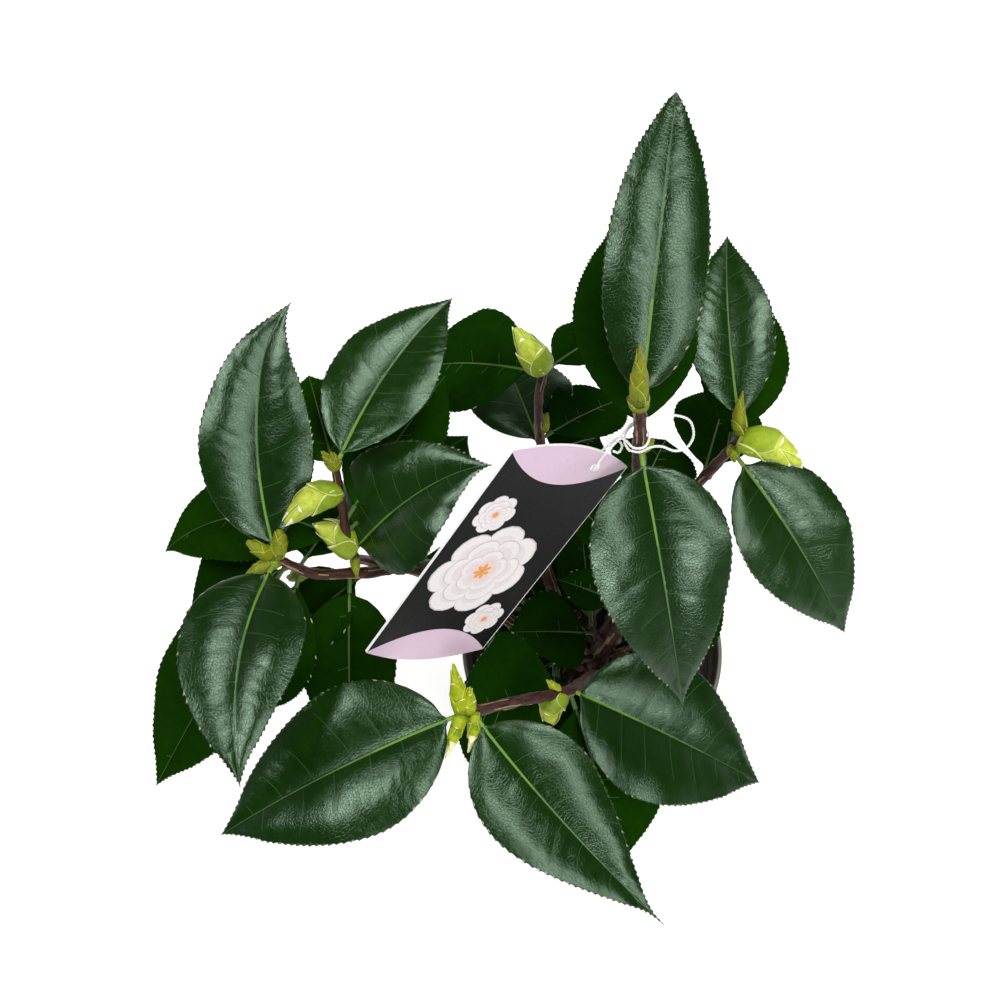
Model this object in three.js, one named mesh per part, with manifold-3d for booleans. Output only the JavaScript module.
// A young camellia shrub in its nursery pot, with a plain plant tag tied to the tallest shoot.
// Millimetres, +Z up. The origin is the middle of the pot's flat underside, and -Y is the front.
import * as THREE from 'three';
import { mergeVertices } from 'three/addons/utils/BufferGeometryUtils.js';
import Module from 'manifold-3d';

const wasm = await Module();
wasm.setup();

// Pot and compost
const POT_HEIGHT = 110;
const RIM_RADIUS = 65;
const FOOT_RADIUS = 48;
const WALL = 1.8;
const FLOOR = 2.6;
const LIP_HEIGHT = 12;
const LIP_STEP = 2.5;
const FOOT_BEVEL = 1.5;
const RIM_BEVEL = 1;
const POT_SEGMENTS = 40;
const DRAIN_HOLES = 6;
const DRAIN_RADIUS = 4;
const DRAIN_CIRCLE = 33;
const DRAIN_SIDES = 10;
const SOIL_TOP = 96;

// Gap between separate pieces that meet
const CLEAR = 0.3;

// Leaf: where it is widest, how drawn out its tip is, how far its halves fold up, and its stalk
const LEAF_THICKNESS = 1.0;
const LEAF_LEAST_HALF = 0.5;
const LEAF_PEAK = 0.42;
const LEAF_POINT = 1.15;
const LEAF_FOLD = 10;
const LEAF_STALK = 8;
const STALK_WIDTH = 2.2;
const BLADE_STEPS = 7;

// Main stem and boughs: steps along and sides round each, and how soon the root flare dies away
const LIMB_STEPS = 12;
const LIMB_SIDES = 8;
const FLARE_FALL = 14;
const TWIG_STEPS = 6;
const TWIG_SIDES = 6;

// Bud: its half width along it, as shares of its length and greatest half width
const BUD_PROFILE = [[0, 0.45], [0.2, 0.85], [0.45, 1], [0.75, 0.66], [1, 0.12]];
const BUD_SIDES = 7;

// Seeded leaves of the low shoots: how far they keep from other leaves, and from the rim and compost
const GOLDEN_ANGLE = 137.5;
const LEAF_GAP = 7;
const RIM_GAP = 7;
const TRIES_PER_LEAF = 8;
const SAMPLES_ACROSS = [-1, -0.5, 0, 0.5, 1];

// Main stem and boughs: guide points, and the radius at the foot and at the tip
const LIMBS = {
  trunk: {
    path: [[0, -14, SOIL_TOP], [1, -15, 112], [1, -15, 145], [7, -11, 171]],
    radii: [5.6, 4.2],
    flare: 1.5,
  },
  bough_left: {
    on: 'trunk',
    path: [[1, -15, 124], [-22, -13, 140], [-72, 4, 200], [-101, -9, 231]],
    radii: [3.6, 2.3],
  },
  bough_left_side: {
    on: 'bough_left',
    path: [[-80, 1, 208], [-97, -1, 222], [-104, -6, 239]],
    radii: [2.1, 1.9],
  },
  bough_upper: {
    on: 'trunk',
    path: [[1, -15, 134], [-20, 4, 164], [-31, 40, 194], [-27, 53, 213]],
    radii: [3.2, 2.1],
  },
  bough_tall: {
    on: 'trunk',
    path: [[2, -14, 148], [7, -3, 178], [9, 8, 235], [5, 8, 291]],
    radii: [4.0, 2.6],
  },
  bough_right: {
    on: 'bough_tall',
    path: [[9, 7, 222], [24, 14, 242], [32, 18, 258]],
    radii: [2.6, 2.1],
  },
  bough_lower: {
    on: 'trunk',
    path: [[1, -15, 112], [-1, -28, 148], [-6, -40, 188], [-11, -47, 208]],
    radii: [3.4, 2.4],
  },
};

// Leafy shoots, each grown on from a limb's tip or side. A leaf has its place along the shoot (0 to 1),
// the compass turn and the rise of its chord, its length and width, how far it droops from base to tip,
// its sideways curl and its roll about the midrib. A bud has its place, turn, rise, length and width.
// Where a leaf's peak, point or stalk differs from the usual, its row says so.
const SHOOTS = {
  foliage_left_outer: {
    on: 'bough_left',
    path: [[-101, -9, 231], [-118, -14, 242], [-126, -14, 250], [-132, -13, 256]],
    radii: [2.2, 1.7],
    leaves: [
      { at: 1.0, turn: 89, rise: 24, long: 96, wide: 44, droop: 10, curl: -35, stalk: 6 },
      { at: 1.0, turn: -91, rise: 7, long: 85, wide: 46, droop: 25, curl: 30 },
      { at: 0.8, turn: -126, rise: -29, long: 98, wide: 46, droop: 15 },
      { at: 0.7, turn: -174, rise: -47, long: 68, wide: 54, droop: 20 },
      { at: 0.55, turn: -118, rise: -56, long: 70, wide: 36, droop: 20 },
      { at: 0.6, turn: 74, rise: -43, long: 58, wide: 38, droop: 20 },
      { at: 0.1, turn: -93, rise: -48, long: 82, wide: 40, droop: 25 },
    ],
    buds: [
      { at: 1.0, turn: 80, rise: 37, long: 13, wide: 6.5 },
      { at: 0.97, turn: 163, rise: 42, long: 17, wide: 6.5 },
      { at: 0.95, turn: -147, rise: -1, long: 16, wide: 6.5 },
      { at: 0.45, turn: 170, rise: -45, long: 15, wide: 5.5 },
    ],
  },
  foliage_left_inner: {
    on: 'bough_left_side',
    path: [[-104, -6, 239], [-106, -2, 250], [-107, 6, 264], [-108, 14, 280]],
    radii: [1.9, 1.5],
    leaves: [
      { at: 1.0, turn: 60, rise: 0, long: 82, wide: 42, droop: 10, curl: -20, stalk: 6 },
      { at: 0.9, turn: 107, rise: -21, long: 58, wide: 36, droop: 20 },
      { at: 0.1, turn: 20, rise: 34, long: 68, wide: 54, droop: 20, curl: -30, stalk: 5 },
      { at: 0.5, turn: 63, rise: -9, long: 76, wide: 38, droop: 20 },
      { at: 0.4, turn: 54, rise: -27, long: 80, wide: 40, droop: 20 },
      { at: 0.25, turn: 177, rise: -22, long: 86, wide: 44, droop: 50, curl: 50 },
    ],
    buds: [
      { at: 1.0, turn: 177, rise: 74, long: 14, wide: 5 },
      { at: 1.0, turn: 95, rise: 88, long: 13, wide: 5 },
      { at: 0.8, turn: -139, rise: 12, long: 25, wide: 12 },
      { at: 0.12, turn: 158, rise: 46, long: 21, wide: 12.5 },
      { at: 0.04, turn: -83, rise: -22, long: 9, wide: 4 },
    ],
  },
  foliage_upper: {
    on: 'bough_upper',
    path: [[-27, 53, 213], [-29, 57, 228], [-30, 62, 250], [-28, 66, 264]],
    radii: [2.1, 1.6],
    leaves: [
      { at: 0.97, turn: 150, rise: -38, long: 68, wide: 48, droop: 25, roll: 18 },
      { at: 0.04, turn: 106, rise: -16, long: 62, wide: 48, droop: 15 },
      { at: 0.02, turn: 44, rise: -43, long: 46, wide: 34, droop: 15 },
      { at: 1.0, turn: 51, rise: -32, long: 60, wide: 26, droop: 15 },
      { at: 0.25, turn: 44, rise: -32, long: 60, wide: 34, droop: 20 },
    ],
    buds: [
      { at: 1.0, turn: 143, rise: 50, long: 24, wide: 13 },
      { at: 0.35, turn: 62, rise: 27, long: 9, wide: 7 },
    ],
  },
  foliage_tall: {
    on: 'bough_tall',
    path: [[5, 8, 291], [3, 7, 308], [2, 8, 322], [0, 9, 338]],
    radii: [2.6, 2.0],
    leaves: [
      { at: 0.85, turn: 83, rise: 27, long: 100, wide: 35, point: 0.9, droop: 15, curl: -1 },
      { at: 0.45, turn: 94, rise: -5, long: 92, wide: 46, droop: 15, curl: 14 },
      { at: 0.45, turn: -76, rise: -39, long: 94, wide: 51, point: 1.4, droop: 30, curl: 5 },
    ],
    buds: [
      { at: 1.0, turn: 99, rise: 67, long: 24, wide: 7 },
      { at: 0.4, turn: -1, rise: 44, long: 7, wide: 6 },
    ],
  },
  foliage_right: {
    on: 'bough_right',
    path: [[32, 18, 258], [37, 17, 280], [42, 18, 298]],
    radii: [2.1, 1.6],
    leaves: [
      { at: 1.0, turn: 89, rise: 3, long: 78, wide: 34, droop: 15, curl: -12 },
      { at: 0.7, turn: 77, rise: -9, long: 76, wide: 35, droop: 20 },
      { at: 0.1, turn: 71, rise: -32, long: 70, wide: 38, droop: 20 },
      { at: 0.75, turn: -48, rise: -36, long: 82, wide: 44, droop: 25, roll: -10 },
    ],
    buds: [
      { at: 1.0, turn: 89, rise: 30, long: 17, wide: 5.5 },
      { at: 0.95, turn: -28, rise: 1, long: 24, wide: 13 },
      { at: 0.8, turn: -91, rise: 12, long: 8, wide: 5 },
    ],
  },
  foliage_lower: {
    on: 'bough_lower',
    path: [[-11, -47, 208], [-20, -57, 226], [-38, -64, 238], [-60, -72, 249]],
    radii: [2.4, 1.8],
    leaves: [
      { at: 1.0, turn: -156, rise: -14, long: 96, wide: 57, droop: 20, curl: 5, stalk: 6 },
      {
        at: 0.95, turn: -46, rise: -11, long: 96, wide: 46, droop: 5, curl: 10, stalk: 7,
        peak: 0.35, point: 1.6,
      },
      { at: 0.28, turn: -20, rise: -24, long: 88, wide: 60, droop: 15, stalk: 4 },
      { at: 0.25, turn: -179, rise: -50, long: 68, wide: 64, droop: 15 },
      { at: 0.3, turn: -68, rise: -44, long: 78, wide: 54, droop: 25 },
    ],
    buds: [
      { at: 1.0, turn: 102, rise: 33, long: 20, wide: 7 },
      { at: 0.97, turn: 82, rise: 52, long: 12, wide: 6 },
      { at: 1.0, turn: -109, rise: -11, long: 19, wide: 6.5 },
      { at: 0.95, turn: -104, rise: -12, long: 17, wide: 6.5 },
      { at: 0.4, turn: 139, rise: 30, long: 8, wide: 4 },
      { at: 0.38, turn: -114, rise: -14, long: 14, wide: 9 },
    ],
  },
  foliage_centre: {
    on: 'trunk',
    path: [[4, -13, 158], [-1, -14, 164], [-5, -12, 172]],
    radii: [2.0, 1.5],
    leaves: [
      { at: 1.0, turn: 92, rise: -18, long: 56, wide: 28, droop: 15 },
      { at: 0.7, turn: -166, rise: 36, long: 44, wide: 38, droop: 15 },
    ],
    buds: [],
  },
};

// Low shoots under the crown: a seeded rule turns their leaves about the shoot, within a fan of turns.
const LOW_SHOOTS = {
  foliage_low_back: { seed: 18, turn: 95, fan: 60, foot: 114, length: 52, rise: 36, leaves: 6 },
  foliage_low_front: { seed: 5, turn: -95, fan: 60, foot: 106, length: 42, rise: 50, leaves: 5 },
  foliage_low_left: { seed: 8, turn: 145, fan: 60, foot: 116, length: 60, rise: 30, leaves: 5 },
  foliage_low_right: { seed: 24, turn: -15, fan: 60, foot: 108, length: 36, rise: 50, leaves: 5 },
  foliage_mid_back: { seed: 9, turn: 64, fan: 70, foot: 136, length: 46, rise: 40, leaves: 6 },
  foliage_mid_front: { seed: 4, turn: -150, fan: 70, foot: 138, length: 48, rise: 50, leaves: 5 },
  foliage_mid_right: { seed: 8, turn: -30, fan: 70, foot: 142, length: 30, rise: 60, leaves: 6 },
};
const LOW_AXIS = [1, -15];
const LOW_BEND = 12;
const LOW_RADII = [1.9, 1.4];
const LOW_LEAF = { long: [46, 58], wide: [26, 34], rise: [-30, 10], droop: [15, 35] };

// Plant tag: a card hung by its hole. Its face looks towards the turn called face, raised by lean,
// and the card is turned in its own plane by tilt. The string goes through the hole and round the stem.
const TAG = { wide: 60, high: 100, thick: 0.9, bulge: 6, lean: 11, face: -61, tilt: -43 };
const TAG_HOLE = { at: [-12.4, 2.3, 304.6], radius: 2.2, across: 44, down: 2 };
const TAG_ARC_STEPS = 8;
const STRING_RADIUS = 0.6;
const STRING_STEPS = 28;
const STRING_SIDES = 6;
const STRING_PATH = [
  [-10, -2, 305.6], [-4, -3, 310], [6, 1, 314], [9, 8, 316],
  [3, 13, 317], [-7, 12, 311], [-14.8, 6.6, 303.6],
];

const { degToRad } = THREE.MathUtils;
const UP = new THREE.Vector3(0, 0, 1);

// Closed solids from vertices and faces, and back to a mesh's geometry

function solidFrom(geometry) {
  const bare = new THREE.BufferGeometry().setAttribute('position', geometry.getAttribute('position'));
  bare.setIndex(geometry.index);
  const merged = mergeVertices(bare, 1e-4);
  return new wasm.Manifold(new wasm.Mesh({
    numProp: 3,
    vertProperties: new Float32Array(merged.attributes.position.array),
    triVerts: new Uint32Array(merged.index.array),
  }));
}

function geometryFrom(solid) {
  const mesh = solid.getMesh();
  const geometry = new THREE.BufferGeometry();
  geometry.setAttribute('position', new THREE.BufferAttribute(new Float32Array(mesh.vertProperties), 3));
  geometry.setIndex(new THREE.BufferAttribute(new Uint32Array(mesh.triVerts), 1));
  geometry.computeVertexNormals();
  return geometry;
}

// A solid through rings of points, closed by a flat fan at each end, or joined end to end in a loop
function loft(rings, loop = false) {
  const count = rings[0].length;
  const faces = [];
  const spans = loop ? rings.length : rings.length - 1;
  for (let i = 0; i < spans; i += 1) {
    const next = (i + 1) % rings.length;
    for (let j = 0; j < count; j += 1) {
      const k = (j + 1) % count;
      faces.push(i * count + j, i * count + k, next * count + k);
      faces.push(i * count + j, next * count + k, next * count + j);
    }
  }
  if (!loop) {
    const last = (rings.length - 1) * count;
    for (let j = 1; j < count - 1; j += 1) {
      faces.push(0, j + 1, j);
      faces.push(last, last + j, last + j + 1);
    }
  }
  const geometry = new THREE.BufferGeometry().setFromPoints(rings.flat());
  geometry.setIndex(faces);
  return solidFrom(geometry);
}

function biggestBody(solid) {
  const bodies = solid.decompose();
  return bodies.reduce((best, body) => (body.volume() > best.volume() ? body : best));
}

// Curves, directions and tubes

function curveThrough(path) {
  return new THREE.CatmullRomCurve3(path.map((p) => new THREE.Vector3(...p)), false, 'catmullrom');
}

function direction(turn, rise) {
  const level = Math.cos(degToRad(rise));
  const t = degToRad(turn);
  return new THREE.Vector3(level * Math.cos(t), level * Math.sin(t), Math.sin(degToRad(rise)));
}

function ringAround(centre, normal, start, radius, sides) {
  const side = start.clone().addScaledVector(normal, -start.dot(normal)).normalize();
  const other = normal.clone().cross(side);
  const ring = [];
  for (let i = 0; i < sides; i += 1) {
    const angle = (2 * Math.PI * i) / sides;
    const point = centre.clone().addScaledVector(side, radius * Math.cos(angle));
    ring.push(point.addScaledVector(other, radius * Math.sin(angle)));
  }
  return { ring, side };
}

function tubeThrough(points, radii, sides, firstNormal = null) {
  let side = new THREE.Vector3(1, 0.2, 0.1);
  const rings = points.map((point, i) => {
    const before = points[Math.max(i - 1, 0)];
    const after = points[Math.min(i + 1, points.length - 1)];
    const along = after.clone().sub(before).normalize();
    const made = ringAround(point, i === 0 && firstNormal ? firstNormal : along, side, radii[i], sides);
    side = made.side;
    return made.ring;
  });
  return loft(rings);
}

// Limbs: a tapering tube, cut clear of the limb that carries it

function limbRadius(limb, t) {
  const taper = limb.radii[0] + (limb.radii[1] - limb.radii[0]) * t;
  const flare = limb.flare ? 1 + (limb.flare - 1) * Math.exp(-t * FLARE_FALL) : 1;
  return taper * flare;
}

function limbSolid(limb, extra = 0) {
  const curve = curveThrough(limb.path);
  const points = curve.getPoints(LIMB_STEPS);
  points[LIMB_STEPS].addScaledVector(curve.getTangent(1), extra);
  const radii = points.map((p, i) => limbRadius(limb, i / LIMB_STEPS) + extra);
  return tubeThrough(points, radii, LIMB_SIDES, limb.flare ? UP : null);
}

function limbNode(name) {
  const limb = LIMBS[name];
  const solid = limbSolid(limb);
  if (!limb.on) return solid;
  return biggestBody(solid.subtract(limbSolid(LIMBS[limb.on], CLEAR)));
}

// Leaves: the midrib's points and directions, then the ring of the folded blade at each

function leafLine(root, leaf, steps) {
  const curl = leaf.curl ?? 0;
  const first = direction(leaf.turn - curl / 2, leaf.rise + leaf.droop / 2);
  const points = [root.clone(), root.clone().addScaledVector(first, leaf.stalk ?? LEAF_STALK)];
  const ways = [first, first];
  for (let i = 0; i < steps; i += 1) {
    const s = (i + 0.5) / steps;
    const way = direction(leaf.turn + curl * (s - 0.5), leaf.rise + leaf.droop * (0.5 - s));
    points.push(points[points.length - 1].clone().addScaledVector(way, leaf.long / steps));
    ways.push(way);
  }
  return { points, ways };
}

function leafHalfWidth(leaf, s) {
  const peak = leaf.peak ?? LEAF_PEAK;
  const point = leaf.point ?? LEAF_POINT;
  const root = (point * peak) / (1 - peak);
  const most = peak ** root * (1 - peak) ** point;
  return s <= 0 || s >= 1 ? 0 : ((leaf.wide / 2) * s ** root * (1 - s) ** point) / most;
}

function leafFrame(way, roll) {
  const side = way.clone().cross(UP).normalize();
  const face = side.clone().cross(way);
  const r = degToRad(roll);
  return {
    side: side.clone().multiplyScalar(Math.cos(r)).addScaledVector(face, Math.sin(r)),
    face: face.clone().multiplyScalar(Math.cos(r)).addScaledVector(side, -Math.sin(r)),
  };
}

function leafRings(root, leaf) {
  const { points, ways } = leafLine(root, leaf, BLADE_STEPS);
  const fold = degToRad(LEAF_FOLD);
  return points.map((point, i) => {
    const { side, face } = leafFrame(ways[i], leaf.roll ?? 0);
    const least = i > 1 ? LEAF_LEAST_HALF : STALK_WIDTH / 2;
    const half = Math.max(leafHalfWidth(leaf, (i - 1) / BLADE_STEPS), least);
    const lift = half * Math.sin(fold);
    const reach = half * Math.cos(fold);
    const at = (across, up) => point.clone().addScaledVector(side, across).addScaledVector(face, up);
    return [
      at(-reach, lift), at(0, 0), at(reach, lift),
      at(reach, lift - LEAF_THICKNESS), at(0, -LEAF_THICKNESS), at(-reach, lift - LEAF_THICKNESS),
    ];
  });
}

function leafSolid(root, leaf) {
  return loft(leafRings(root, leaf));
}

// Buds: a spindle

function budSolid(root, bud) {
  const way = direction(bud.turn, bud.rise);
  const points = BUD_PROFILE.map(([s]) => root.clone().addScaledVector(way, s * bud.long));
  return tubeThrough(points, BUD_PROFILE.map(([, r]) => (r * bud.wide) / 2), BUD_SIDES);
}

// A shoot's twig starts clear of the tip or side that carries it, and its leaves and buds are fused on

function shootSolid(shoot) {
  const curve = curveThrough(shoot.path);
  const points = curve.getPoints(TWIG_STEPS);
  const [foot, tip] = shoot.radii;
  const radii = points.map((p, i) => foot + (tip - foot) * (i / TWIG_STEPS));
  let solid = tubeThrough(points, radii, TWIG_SIDES);
  for (const leaf of shoot.leaves) solid = solid.add(leafSolid(curve.getPoint(leaf.at), leaf));
  for (const bud of shoot.buds) solid = solid.add(budSolid(curve.getPoint(bud.at), bud));
  return biggestBody(solid.subtract(limbSolid(LIMBS[shoot.on], CLEAR)));
}

// The seeded rule for the low shoots

function seededRandom(seed) {
  let state = seed;
  return () => {
    state = (Math.imul(state, 1664525) + 1013904223) >>> 0;
    return state / 4294967296;
  };
}

function samplePoints(root, leaf) {
  const { points, ways } = leafLine(root, leaf, BLADE_STEPS);
  const samples = [];
  points.slice(1).forEach((point, i) => {
    const { side } = leafFrame(ways[i + 1], leaf.roll ?? 0);
    const half = leafHalfWidth(leaf, i / BLADE_STEPS);
    for (const part of SAMPLES_ACROSS) samples.push(point.clone().addScaledVector(side, part * half));
  });
  return samples;
}

function limbSamples() {
  return Object.values(LIMBS).flatMap((limb) => curveThrough(limb.path).getPoints(3 * LIMB_STEPS));
}

function growLowShoot(spec, taken) {
  const random = seededRandom(spec.seed);
  const foot = new THREE.Vector3(...LOW_AXIS, spec.foot);
  const path = [0, 0.5, 1].map((t) => {
    const way = direction(spec.turn, spec.rise + LOW_BEND * (t - 0.5));
    return foot.clone().addScaledVector(way, spec.length * t).toArray();
  });
  const curve = curveThrough(path);
  const leaves = [];
  const between = ([low, high]) => low + (high - low) * random();
  for (let i = 0; leaves.length < spec.leaves && i < spec.leaves * TRIES_PER_LEAF; i += 1) {
    const swing = (((i * GOLDEN_ANGLE) % 360) / 180 - 1) * spec.fan;
    const leaf = {
      at: 1 - 0.5 * random(),
      turn: spec.turn + swing,
      rise: between(LOW_LEAF.rise),
      long: between(LOW_LEAF.long),
      wide: between(LOW_LEAF.wide),
      droop: between(LOW_LEAF.droop),
    };
    const samples = samplePoints(curve.getPoint(leaf.at), leaf);
    const touches = samples.some((p) => taken.some((q) => p.distanceTo(q) < LEAF_GAP));
    const rim = samples.some((p) => (
      Math.hypot(p.x, p.y) > RIM_RADIUS - RIM_GAP && p.z < POT_HEIGHT + RIM_GAP
    ));
    const sunk = samples.some((p) => p.z < SOIL_TOP + RIM_GAP);
    if (touches || rim || sunk) continue;
    leaves.push(leaf);
    taken.push(...samples.slice(SAMPLES_ACROSS.length));
  }
  return { on: 'trunk', path, radii: LOW_RADII, leaves, buds: [] };
}

function growLowShoots() {
  const taken = limbSamples();
  for (const shoot of Object.values(SHOOTS)) {
    const curve = curveThrough(shoot.path);
    for (const leaf of shoot.leaves) taken.push(...samplePoints(curve.getPoint(leaf.at), leaf));
  }
  return Object.fromEntries(
    Object.entries(LOW_SHOOTS).map(([name, spec]) => [name, growLowShoot(spec, taken)]),
  );
}

// Pot: a lathed shell with a broad lip and holes in its floor, and the compost that fills it

const POT_SLOPE = (RIM_RADIUS - LIP_STEP - FOOT_RADIUS) / (POT_HEIGHT - LIP_HEIGHT);

function potWall(z) {
  return FOOT_RADIUS + POT_SLOPE * z;
}

function lathe(profile) {
  const outline = profile.map(([r, z]) => new THREE.Vector2(r, z));
  const turned = new THREE.LatheGeometry(outline, POT_SEGMENTS);
  return solidFrom(turned.rotateX(Math.PI / 2));
}

function potSolid() {
  const lipFoot = POT_HEIGHT - LIP_HEIGHT;
  const outline = [
    [0, 0], [FOOT_RADIUS - FOOT_BEVEL, 0], [FOOT_RADIUS, FOOT_BEVEL],
    [potWall(lipFoot), lipFoot], [RIM_RADIUS - RIM_BEVEL, lipFoot + RIM_BEVEL / 2],
    [RIM_RADIUS, lipFoot + 2 * RIM_BEVEL], [RIM_RADIUS, POT_HEIGHT - RIM_BEVEL],
    [RIM_RADIUS - RIM_BEVEL, POT_HEIGHT], [RIM_RADIUS - WALL - RIM_BEVEL / 2, POT_HEIGHT],
    [RIM_RADIUS - WALL - RIM_BEVEL, POT_HEIGHT - RIM_BEVEL],
    [potWall(lipFoot) - WALL, lipFoot - RIM_BEVEL], [FOOT_RADIUS - WALL, FLOOR], [0, FLOOR],
  ];
  let pot = lathe(outline);
  for (let i = 0; i < DRAIN_HOLES; i += 1) {
    const angle = (2 * Math.PI * i) / DRAIN_HOLES;
    const hole = new THREE.CylinderGeometry(DRAIN_RADIUS, DRAIN_RADIUS, 3 * FLOOR, DRAIN_SIDES);
    hole.rotateX(Math.PI / 2);
    hole.translate(DRAIN_CIRCLE * Math.cos(angle), DRAIN_CIRCLE * Math.sin(angle), 0);
    pot = pot.subtract(solidFrom(hole));
  }
  return pot;
}

function compostSolid() {
  const edge = (z) => potWall(z) - WALL - 2 * CLEAR;
  return lathe([
    [0, FLOOR + CLEAR], [edge(FLOOR), FLOOR + CLEAR], [edge(SOIL_TOP), SOIL_TOP], [0, SOIL_TOP],
  ]);
}

// Tag and string

function tagAxes() {
  const face = direction(TAG.face, TAG.lean);
  const level = UP.clone().cross(face).normalize();
  const rising = face.clone().cross(level);
  const t = degToRad(TAG.tilt);
  const across = level.clone().multiplyScalar(Math.cos(t)).addScaledVector(rising, Math.sin(t));
  const up = face.clone().cross(across);
  return { across, up, face };
}

function tagSolid() {
  const left = -TAG_HOLE.across;
  const right = TAG.wide - TAG_HOLE.across;
  const top = TAG_HOLE.down;
  const foot = TAG_HOLE.down - TAG.high;
  const middle = (left + right) / 2;
  const outline = new THREE.Shape();
  outline.moveTo(left, foot);
  outline.quadraticCurveTo(middle, foot - 2 * TAG.bulge, right, foot);
  outline.lineTo(right, top);
  outline.quadraticCurveTo(middle, top + 2 * TAG.bulge, left, top);
  outline.holes.push(new THREE.Path().absarc(0, 0, TAG_HOLE.radius, 0, 2 * Math.PI, true));
  const settings = { depth: TAG.thick, bevelEnabled: false, curveSegments: TAG_ARC_STEPS };
  const card = new THREE.ExtrudeGeometry(outline, settings);
  card.translate(0, 0, -TAG.thick / 2);
  const { across, up, face } = tagAxes();
  card.applyMatrix4(new THREE.Matrix4().makeBasis(across, up, face).setPosition(...TAG_HOLE.at));
  return solidFrom(card);
}

function stringSolid() {
  const curve = new THREE.CatmullRomCurve3(STRING_PATH.map((p) => new THREE.Vector3(...p)), true);
  const points = curve.getPoints(STRING_STEPS).slice(0, STRING_STEPS);
  const rings = points.map((point, i) => {
    const before = points[(i + points.length - 1) % points.length];
    const after = points[(i + 1) % points.length];
    const along = after.clone().sub(before).normalize();
    return ringAround(point, along, UP, STRING_RADIUS, STRING_SIDES).ring;
  });
  return loft(rings, true);
}

// Materials and the finished group

const LOOKS = {
  pot: { color: 0x7f766a, roughness: 0.55 },
  compost: { color: 0x2b1f17, roughness: 0.95 },
  bark: { color: 0x6a3a26, roughness: 0.8 },
  leaf: { color: 0x1f4a1c, roughness: 0.3 },
  tag: { color: 0xd9b7cb, roughness: 0.4 },
  string: { color: 0xf2f2ee, roughness: 0.8 },
};

function meshOf(name, solid, look) {
  const material = new THREE.MeshStandardMaterial({ ...LOOKS[look], metalness: 0 });
  const mesh = new THREE.Mesh(geometryFrom(solid), material);
  mesh.name = name;
  return mesh;
}

const plant = new THREE.Group();
plant.add(meshOf('pot', potSolid(), 'pot'));
plant.add(meshOf('compost', compostSolid(), 'compost'));
for (const name of Object.keys(LIMBS)) plant.add(meshOf(name, limbNode(name), 'bark'));
for (const [name, shoot] of Object.entries({ ...SHOOTS, ...growLowShoots() })) {
  plant.add(meshOf(name, shootSolid(shoot), 'leaf'));
}
plant.add(meshOf('plant_tag', tagSolid(), 'tag'));
plant.add(meshOf('tag_string', stringSolid(), 'string'));

export default plant;
